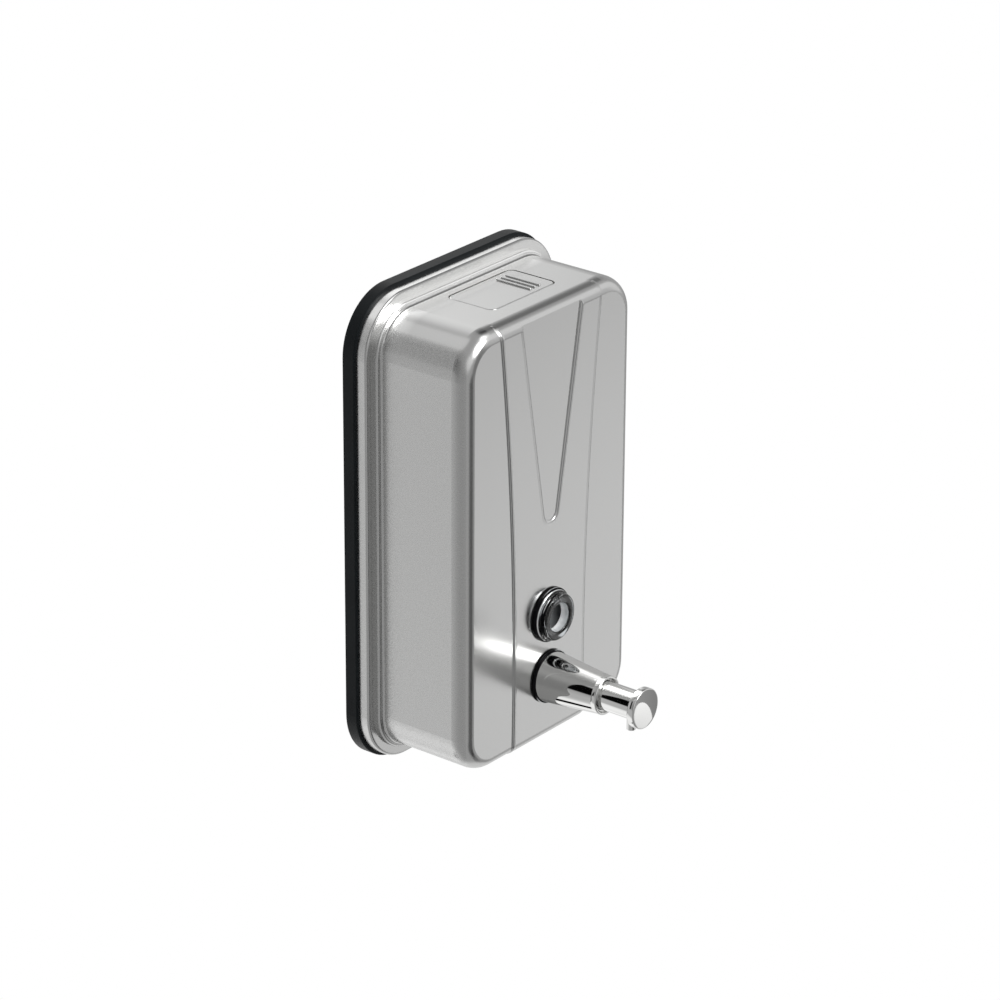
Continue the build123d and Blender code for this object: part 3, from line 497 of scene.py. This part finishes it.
# painted highlights and shade on the window: thin near-white mirror crescents set into its clear edges stand
# in for the glints there, and a black strip darkens the side of its drum as painted shade
paintedStripShapes = {
    "rimGlint": dict(finish="glintMirror", sweep=(138, 203), lean=25.8,
                     radius=0.00890, width=0.00167, reach=0.00432),
    "edgeGlint": dict(finish="glintMirror", sweep=(30, 132), lean=11.3,
                      radius=0.00935, width=0.00022, reach=0.00440),
    "topGlint": dict(finish="glintMirror", sweep=(-34, 2), lean=5.7,
                     radius=0.00800, width=0.00055, reach=0.00470),
    "flangeFaceGlint": dict(finish="glintMirror", sweep=(-72, -30), lean=5.7,
                        radius=0.01045, width=0.00035, reach=0.00255),
    "drumShade": dict(finish="blackRubber", sweep=(-190, 12), lean=90,
                      radius=0.01012, width=0.0018, reach=0.00375),
    "drumGlintLow": dict(finish="glintMirror", sweep=(-152, -112), lean=90,
                         radius=0.01019, width=0.00030, reach=0.0036),
    "drumGlintHigh": dict(finish="glintMirror", sweep=(-66, -22), lean=90,
                          radius=0.01019, width=0.00036, reach=0.0036),
}
# the section of a crescent, in shares of its width and of its thickness, and the ends of its way
paintedStripSection = dict(thick=0.00006, steps=48, tips=(0.02, 0.98),
                    across=(-0.5, -0.25, 0, 0.25, 0.5, 0.5, 0, -0.5), behind=(0, 0, 0, 0, 0, 1, 1, 1))


def crescent(shape, axisZ, section):
    # angle a runs along the arc, the width swells as the sine of the way and leans from radius to reach
    way = np.linspace(*section["tips"], section["steps"])[:, None]
    start, end = shape["sweep"]
    angle = np.radians(start + (end - start) * way)
    lean = math.radians(shape["lean"])
    offset = np.array(section["across"])[None] * shape["width"] * np.sin(math.pi * way)
    behind = section["thick"] * np.array(section["behind"])[None]
    radius = shape["radius"] + offset * math.cos(lean) + behind * math.sin(lean)
    reach = shape["reach"] + offset * math.sin(lean) - behind * math.cos(lean)
    return aroundAxis(radius, angle, reach, axisZ)


for name, paintedStrip in paintedStripShapes.items():
    piece = gridPiece(name, crescent(paintedStrip, lensShape["axisZ"], paintedStripSection), finishes[paintedStrip["finish"]])
    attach(piece, "case")

# black rubber rings under the window and the pump, rounded at the outer edge by a share of their thickness
ringShapes = {
    "sightRing": dict(node="sight_gasket", axisZ=sightZ, soft=0.42,
                      outer=0.01175, inner=0.00805, thick=0.0015),
    "pumpRing": dict(node="pump_gasket", axisZ=pumpZ, soft=0.42,
                     outer=0.0116, inner=0.00905, thick=0.0014),
}
for name, ring in ringShapes.items():
    soft = ring["soft"] * ring["thick"]
    corners = [(0, ring["inner"], 0), (0, ring["outer"], soft),
               (ring["thick"], ring["outer"], soft), (ring["thick"], ring["inner"], 0)]
    piece = turnedPiece(name, roundedProfile(corners), ring["axisZ"], finishes["blackRubber"])
    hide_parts(ring["node"])
    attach(piece, "case")
# painted highlights: a thin near-white mirror strip on each ring's rounded edge stands in for the light it
# catches
ringGlints = {
    "sightGlint": dict(axisZ=sightZ, sweep=(-34, 30), lean=-68,
                       radius=0.01170, width=0.00024, reach=0.00112),
    "pumpGlintHigh": dict(axisZ=pumpZ, sweep=(8, 66), lean=-45,
                          radius=0.01143, width=0.00030, reach=0.00126),
    "pumpGlintLow": dict(axisZ=pumpZ, sweep=(-186, -118), lean=-55,
                         radius=0.01150, width=0.00034, reach=0.00118),
}
for name, glint in ringGlints.items():
    piece = gridPiece(name, crescent(glint, glint["axisZ"], paintedStripSection), finishes["glintMirror"])
    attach(piece, "case")

# the rolled lip at the mouth of the pump housing
lipShape = dict(axisZ=pumpZ, steps=11, corners=[(0.0276, 0.00634, 0.0002), (0.0276, 0.00838, 0.0002),
                                                (0.0302, 0.00836, 0.00050), (0.0302, 0.00750, 0.00040),
                                                (0.0293, 0.00695, 0.00030), (0.0291, 0.00634, 0.00020)])
lipProfile = roundedProfile(lipShape["corners"], lipShape["steps"])
coneLip = turnedPiece("coneLip", lipProfile, lipShape["axisZ"], finishes["chrome"])
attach(coneLip, "case")

# the push head: a chromed drum, very slightly hollow, with a rounded rim
headShape = dict(axisZ=pumpZ, radius=0.00874, reach=0.04965, thick=0.0033, tube=0.00615, socket=0.0015,
                 dish=0.00002, rim=0.0005, steps=24)
dishRadius = np.linspace(headShape["radius"] - 2 * headShape["rim"], 0, headShape["steps"])
dishReach = headShape["reach"] - headShape["dish"] * (1 - (dishRadius / dishRadius[0]) ** 2)
backReach = headShape["reach"] - headShape["thick"]
socketReach = backReach + headShape["socket"]
drum = roundedProfile([
    (socketReach, headShape["tube"], 0), (backReach, headShape["tube"], 0),
    (backReach, headShape["radius"], headShape["rim"]),
    (headShape["reach"], headShape["radius"], headShape["rim"]), (headShape["reach"], dishRadius[0], 0)])
drum = np.concatenate(([[socketReach, 0]], drum[:-1], np.stack((dishReach, dishRadius), 1)))
pushButton = turnedPiece("pushButton", drum, headShape["axisZ"], finishes["chrome"])
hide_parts("push_head")
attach(pushButton, "plunger")
print("turned pieces made")


# rolled edges of the raised band and of the vee in it: one soft S-shaped rim carried along each outline
rollShape = dict(rise=0.0005, lip=0.00012, foot=0.0010, crown=0.0010, back=0.0020, slope=38, fall=8,
                 start=-0.00045, lift=0.000008, sink=0.0003, steps=9)
plainRoll = dict(rollShape, lip=0.00003, fall=2)     # for the edges that face away from the light
bandShape = dict(waist=0.0237, waistZ=-0.0620, sweep=1.290, noseTurn=72, noseSteps=14, flatSteps=40)
veeShape = dict(tipZ=0.0026, tipRadius=0.0040, halfAngle=9.9, tipSteps=40, legSteps=12, fadeSteps=8)


def rolledSection(shape):
    # slope goes 0 -> slope on the foot arc, straight, slope -> -fall over the crown, straight, back to 0
    up, down = math.radians(shape["slope"]), math.radians(shape["fall"])
    footTurn = np.linspace(0, up, shape["steps"])
    crownTurn = np.linspace(up, -down, 2 * shape["steps"])
    backTurn = np.linspace(-down, 0, shape["steps"])
    foot = np.stack((np.sin(footTurn), 1 - np.cos(footTurn)), 1) * shape["foot"]
    crown = np.stack((math.sin(up) - np.sin(crownTurn), np.cos(crownTurn) - math.cos(up)), 1) * shape["crown"]
    back = np.stack((np.sin(backTurn) + math.sin(down), math.cos(down) - np.cos(backTurn)), 1) * shape["back"]
    top = shape["rise"] + shape["lip"]
    wall = (top - (shape["foot"] + shape["crown"]) * (1 - math.cos(up))) / math.sin(up)
    slide = (shape["lip"] - (shape["crown"] + shape["back"]) * (1 - math.cos(down))) / math.sin(down)
    crown += foot[-1] + wall * np.array((math.cos(up), math.sin(up)))
    back += crown[-1] + slide * np.array((math.cos(down), -math.sin(down)))
    line = np.concatenate((foot, crown, back)) + (shape["start"], shape["lift"])
    under = np.array(((line[-1, 0], -shape["sink"]), (line[0, 0], -shape["sink"])))
    return np.concatenate((line, under))


def noseDrop(z):
    # how far the drawn nose has fallen back behind the flat front at height z
    deep, wide = caseShape["noseDeep"], caseShape["noseWide"]
    past = np.clip((np.abs(z) - caseShape["halfHeight"] + wide) / wide, 0, 1)
    return deep * (1 - np.sqrt(1 - past ** 2))


proud, plain = rolledSection(rollShape)[None], rolledSection(plainRoll)[None]

# band: x = half width - s, z along the front and round the nose, depth = front - drop(z) + h(s)
flatZ = caseShape["halfHeight"] - caseShape["noseWide"]
noseAngle = np.linspace(0, math.radians(bandShape["noseTurn"]), bandShape["noseSteps"] + 1)[1:]
noseZ = flatZ + np.sin(noseAngle) * caseShape["noseWide"]
bandZ = np.concatenate((-noseZ[::-1], np.linspace(-flatZ, flatZ, bandShape["flatSteps"]), noseZ))[:, None]
sagitta = bandShape["sweep"] - np.sqrt(bandShape["sweep"] ** 2 - (bandZ - bandShape["waistZ"]) ** 2)
bandHalf = bandShape["waist"] + sagitta
rims = {}
for name, hand, section in (("bandRimLeft", -1, proud), ("bandRimRight", 1, plain)):
    bandY = -(caseShape["front"] - noseDrop(bandZ) + section[:, :, 1])
    rims[name] = np.stack(np.broadcast_arrays(hand * (bandHalf - section[:, :, 0]), bandY, bandZ), -1)

# vee: two legs and a round tip, points pushed outwards by s; the rim fades where the band's nose falls away
lean = math.radians(veeShape["halfAngle"])
tipMiddle = veeShape["tipZ"] + veeShape["tipRadius"]
tipTurn = np.linspace(-(math.pi / 2 - lean), math.pi / 2 - lean, veeShape["tipSteps"])
endDrop = 1 - rollShape["rise"] / caseShape["noseDeep"]
endZ = flatZ + caseShape["noseWide"] * math.sqrt(1 - endDrop ** 2)
startZ = tipMiddle - veeShape["tipRadius"] * math.sin(lean)
legZ = np.concatenate((np.linspace(startZ, flatZ, veeShape["legSteps"])[1:],
                       np.linspace(flatZ, endZ, veeShape["fadeSteps"])[1:]))
legX = veeShape["tipRadius"] * math.cos(lean) + (legZ - startZ) * math.tan(lean)
veeX = np.concatenate((-legX[::-1], veeShape["tipRadius"] * np.sin(tipTurn), legX))[:, None]
veeZ = np.concatenate((legZ[::-1], tipMiddle - veeShape["tipRadius"] * np.cos(tipTurn), legZ))[:, None]
legTurn = np.full(len(legZ), math.pi / 2 - lean)
outTurn = np.concatenate((-legTurn, tipTurn, legTurn))[:, None]
stay = np.clip(1 - noseDrop(veeZ) / rollShape["rise"], 0, 1)
share = 0.5 + 0.5 * np.sin(outTurn)[:, :, None]     # proud on the right leg, plain on the left one
section = proud * share + plain * (1 - share)
across, height = section[:, :, 0], section[:, :, 1]
veeY = -(caseShape["front"] + np.where(height > 0, height * stay, height))
rims["veeRim"] = np.stack(np.broadcast_arrays(
    veeX + across * np.sin(outTurn), veeY, veeZ - across * np.cos(outTurn)), -1)
for name, grid in rims.items():
    piece = gridPiece(name, grid, finishes["satinSteel"])
    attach(piece, "case")
print("rolled edges laid:", len(rims))


# springs: round wire along a helix, shortened by the part that presses on them
springShapes = {
    "returnSpring": dict(node="return_spring", body="case", joint="plunger_slide", keep=0.47,
                         axisZ=pumpZ, ends=(-0.04605, -0.06550), coil=0.0049, wire=0.00045, turns=7),
    "outletSpring": dict(node="outlet_spring", body="plunger", joint="outlet_ball_lift", keep=0.81,
                         axisZ=pumpZ, ends=(-0.08710, -0.08048), coil=0.00175, wire=0.00025, turns=6),
}


def woundWire(shape, perTurn=40, around=12):
    # middle line: x = R sin a, z = axis + R cos a, y runs from end to end; the wire is a circle across it
    still, free = shape["ends"]
    run = np.linspace(0, 1, shape["turns"] * perTurn + 1)[:, None]
    angle = 2 * math.pi * shape["turns"] * run
    inset = math.copysign(shape["wire"], free - still)
    rate = 2 * math.pi * shape["turns"] * shape["coil"]
    travel = free - still - 2 * inset
    out = np.concatenate((np.sin(angle), np.zeros_like(angle), np.cos(angle)), 1)
    axis = np.concatenate((0 * run, still + inset + travel * run, shape["axisZ"] + 0 * run), 1)
    middle = axis + shape["coil"] * out
    along = np.concatenate((rate * np.cos(angle), travel + 0 * angle, -rate * np.sin(angle)), 1)
    along /= np.linalg.norm(along, axis=1)[:, None]
    across = np.cross(along, out)
    ring = np.linspace(0, 2 * math.pi, around, endpoint=False)[None, :, None]
    return middle[:, None] + shape["wire"] * (np.cos(ring) * out[:, None] + np.sin(ring) * across[:, None])


for name, shape in springShapes.items():
    piece = gridPiece(name, woundWire(shape), finishes["springSteel"], smoothAngle=60)
    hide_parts(shape["node"])
    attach(piece, shape["body"])
    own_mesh(piece)
print("springs wound:", len(springShapes))


# camera, from the fit to the photograph; focal length and the origin's place are in pixels of the image
view = dict(azimuth=-51.692, elevation=23.538, roll=0.297, focal=4374.4, distance=1.81493,
            originAt=(441.835, 491.466), imageSize=1000, sensor=36, clipEnd=50)
az, el, roll = (math.radians(view[k]) for k in ("azimuth", "elevation", "roll"))
back = Vector((math.sin(az) * math.cos(el), -math.cos(az) * math.cos(el), math.sin(el)))
level = Vector((math.cos(az), math.sin(az), 0))
rise = back.cross(level)
right = level * math.cos(roll) + rise * math.sin(roll)
up = rise * math.cos(roll) - level * math.sin(roll)
perPixel = view["distance"] / view["focal"]
offX, offY = ((k - view["imageSize"] / 2) * perPixel for k in view["originAt"])
spot = back * view["distance"] - right * offX + up * offY
lensData = bpy.data.cameras.new("camera")
lensData.sensor_width = view["sensor"]
lensData.lens = view["sensor"] * view["focal"] / view["imageSize"]
lensData.clip_end = view["clipEnd"]
camera = bpy.data.objects.new("camera", lensData)
camera.matrix_world = Matrix.Translation(spot) @ Matrix((right, up, back)).transposed().to_4x4()
scene.collection.objects.link(camera)
scene.camera = camera
print("camera at", [round(v, 4) for v in spot])


# studio: the camera sees plain white, the metal sees a soft room of pale walls, softboxes and dark flags
studio = dict(base=0.47, darkest=0.002, white=(1, 1, 1, 1),
              floorHalf=6.0, floorDrop=-0.30, floorTone=(0.85, 0.85, 0.85))
roomPatches = [
    dict(toward=(0.10, -0.73, 0.67), inner=8, outer=24, gain=7.00),
    dict(toward=(0.33, 0.90, 0.27), inner=25, outer=37, gain=0.87),
    dict(toward=(0.65, 0.31, 0.69), inner=6, outer=19, gain=-0.27),
    dict(toward=(0.50, -0.87, 0.05), inner=17, outer=32, gain=-0.24),
    dict(toward=(0.75, -0.47, -0.46), inner=5, outer=11, gain=0.65),
    dict(toward=(-0.92, 0.23, 0.32), inner=4, outer=26, gain=-0.20),
    dict(toward=(-0.92, -0.36, 0.02), inner=5, outer=30, gain=-0.08),
    dict(toward=(-0.29, 0.432, -0.853), inner=2.4, outer=4.2, gain=-1.6),
    dict(toward=(-0.18, 0.440, -0.880), inner=2.4, outer=4.2, gain=-1.6),
    dict(toward=(-0.96, 0.16, -0.12), inner=3, outer=17, gain=-0.12),
    dict(toward=(-0.70, 0.60, -0.40), inner=14, outer=40, gain=0.11),
    dict(toward=(-0.52, -0.74, 0.42), inner=5, outer=29, gain=0.42),
    dict(toward=(0.42, -0.33, 0.85), inner=4, outer=16, gain=2.00),
    dict(toward=(0.57, 0.14, 0.81), inner=4, outer=13, gain=-0.36),
    dict(toward=(-0.20, 0.80, -0.56), inner=30, outer=36, gain=0.37),
    dict(toward=(0.82, -0.51, 0.27), inner=24, outer=32, gain=0.42),
    dict(toward=(-0.33, 0.93, 0.14), inner=9, outer=36, gain=0.83),
    dict(toward=(0.04, -0.84, -0.54), inner=16, outer=22, gain=-0.35),
    dict(toward=(0.75, -0.30, -0.60), inner=10, outer=17, gain=-0.22),
    dict(toward=(0.54, 0.16, -0.83), inner=26, outer=39, gain=0.39),
    dict(toward=(0.86, 0.24, -0.46), inner=8, outer=19, gain=-0.21),
    dict(toward=(-0.24, 0.56, -0.79), inner=3, outer=38, gain=0.30),
    dict(toward=(0.33, -0.58, -0.75), inner=5, outer=17, gain=-0.26),
    dict(toward=(-0.20, 0.53, 0.83), inner=15, outer=21, gain=0.35),
]
# two black slats above the skyline on the left, thin enough for the satin steel to blur, sharp in the chrome
slats = dict(middles=(0.376, 0.536), half=(0.036, 0.024), foot=(0.017, 0.095), top=(0.66, 0.58),
             side=(-0.35, -0.50))
world = bpy.data.worlds.new("studio")
scene.world = world
sky = emptyTree(world)
heading = addNode(sky, "TexCoord").outputs["Generated"]
total = studio["base"]
for patch in roomPatches:
    # each patch is a smooth cap round one heading, from full inside the inner angle to nothing at the outer
    edges = [math.cos(math.radians(patch[k])) for k in ("outer", "inner")]
    facing = dotNode(sky, heading, Vector(patch["toward"]).normalized())
    total = mathNode(sky, "ADD", total, rangeNode(sky, facing, edges, (0, patch["gain"]), smooth=True))
compass = splitNode(sky, heading)


def skyWindow(value, span):
    # 0 at the first end of the span, 1 at the second
    first, second = span
    return rangeNode(sky, value, sorted(span), (float(first > second), float(first < second)), smooth=True)


foot, top = (skyWindow(compass["Z"], slats[k]) for k in ("foot", "top"))
shade = mathNode(sky, "MULTIPLY", foot, top)
shade = mathNode(sky, "MULTIPLY", shade, skyWindow(compass["X"], slats["side"]))
for middle in slats["middles"]:
    gap = mathNode(sky, "ABSOLUTE", mathNode(sky, "SUBTRACT", compass["Y"], middle))
    core = mathNode(sky, "MULTIPLY", shade, skyWindow(gap, slats["half"]))
    total = mathNode(sky, "MULTIPLY", total, mathNode(sky, "SUBTRACT", 1, core))
path = addNode(sky, "LightPath").outputs
seen, room = addNode(sky, "Background"), addNode(sky, "Background")
seen.inputs["Color"].default_value = room.inputs["Color"].default_value = studio["white"]
sky.links.new(mathNode(sky, "MAXIMUM", total, studio["darkest"]), room.inputs["Strength"])
straight = mathNode(sky, "MAXIMUM", path["Is Camera Ray"], path["Is Transmission Ray"])
shown = mixShaders(sky, straight, room.outputs["Background"], seen.outputs["Background"])
sky.links.new(shown, addNode(sky, "OutputWorld").inputs["Surface"])

# the floor is matt to the light, white to the camera, and clear to mirrors and to views from below
half, drop = studio["floorHalf"], studio["floorDrop"]
floorCorners = [(-half, -half, drop), (half, -half, drop), (half, half, drop), (-half, half, drop)]
floorMesh = bpy.data.meshes.new("floor")
floorMesh.from_pydata(floorCorners, [], [(0, 1, 2, 3)])
floor = bpy.data.objects.new("floor", floorMesh)
scene.collection.objects.link(floor)
paint = bpy.data.materials.new("palePaint")
tree = emptyTree(paint)
matt, glow = addNode(tree, "BsdfDiffuse"), addNode(tree, "Emission")
matt.inputs["Color"].default_value = (*studio["floorTone"], 1)
path = addNode(tree, "LightPath").outputs
below = addNode(tree, "NewGeometry").outputs["Backfacing"]
through = mathNode(tree, "MAXIMUM", below, path["Is Glossy Ray"])
above = mixShaders(tree, path["Is Camera Ray"], matt.outputs["BSDF"], glow.outputs["Emission"])
shown = mixShaders(tree, through, above, addNode(tree, "BsdfTransparent").outputs["BSDF"])
tree.links.new(shown, addNode(tree, "OutputMaterial").inputs["Surface"])
floorMesh.materials.append(paint)

# two small cards stand where the push head's mirror face looks: a grey one, and a white one with a round top
cardSet = dict(middle=(0, -0.10685, pumpZ), toward=(0.724, -0.529, -0.442), away=0.045, ahead=0.001,
               greyHalf=(0.0085, 0.0135), greyGlow=(0.255, 0.43), whiteMiddle=(-0.0010, -0.0046),
               whiteHalf=0.0036, whiteTop=0.0072, whiteFoot=0.0085, whiteGlow=(0.92, 1.27), steps=40)


def cardFinish(name, glowSpan, along, reach):
    # plain glow that changes a little across the card
    material = bpy.data.materials.new(name)
    tree = emptyTree(material)
    facing = dotNode(tree, addNode(tree, "TexCoord").outputs["Object"], along)
    glow = addNode(tree, "Emission")
    tree.links.new(rangeNode(tree, facing, reach, glowSpan), glow.inputs["Strength"])
    tree.links.new(glow.outputs["Emission"], addNode(tree, "OutputMaterial").inputs["Surface"])
    return material


toward = np.array(cardSet["toward"]) / np.linalg.norm(cardSet["toward"])
sideways = np.cross((0, 0, 1), toward)
sideways /= np.linalg.norm(sideways)
upward = np.cross(toward, sideways)
cardSpot = np.array(cardSet["middle"]) + toward * cardSet["away"]
greyOutline = np.array([(-1, -1), (1, -1), (1, 1), (-1, 1)]) * cardSet["greyHalf"]
arch = np.linspace(0, math.pi, cardSet["steps"])
archLine = np.stack((cardSet["whiteHalf"] * np.cos(arch), cardSet["whiteTop"] * np.sin(arch)), 1)
footLine = [(hand * cardSet["whiteHalf"], -cardSet["whiteFoot"]) for hand in (-1, 1)]
whiteOutline = np.concatenate((archLine, footLine)) + cardSet["whiteMiddle"]
cards = {
    "greyCard": dict(outline=greyOutline, glow=cardSet["greyGlow"], nearer=0, along=-sideways),
    "whiteCard": dict(outline=whiteOutline, glow=cardSet["whiteGlow"], nearer=cardSet["ahead"], along=upward),
}
for name, look in cards.items():
    outline = look["outline"]
    spots = cardSpot - toward * look["nearer"] + outline[:, :1] * sideways + outline[:, 1:] * upward
    cardMesh = bpy.data.meshes.new(name)
    cardMesh.from_pydata(spots, [], [tuple(range(len(spots)))])
    reach = spots @ look["along"]
    cardMesh.materials.append(cardFinish(name, look["glow"], look["along"], (reach.min(), reach.max())))
    card = bpy.data.objects.new(name, cardMesh)
    scene.collection.objects.link(card)
    card.visible_camera = card.visible_diffuse = card.visible_shadow = card.visible_transmission = False
print("studio set")
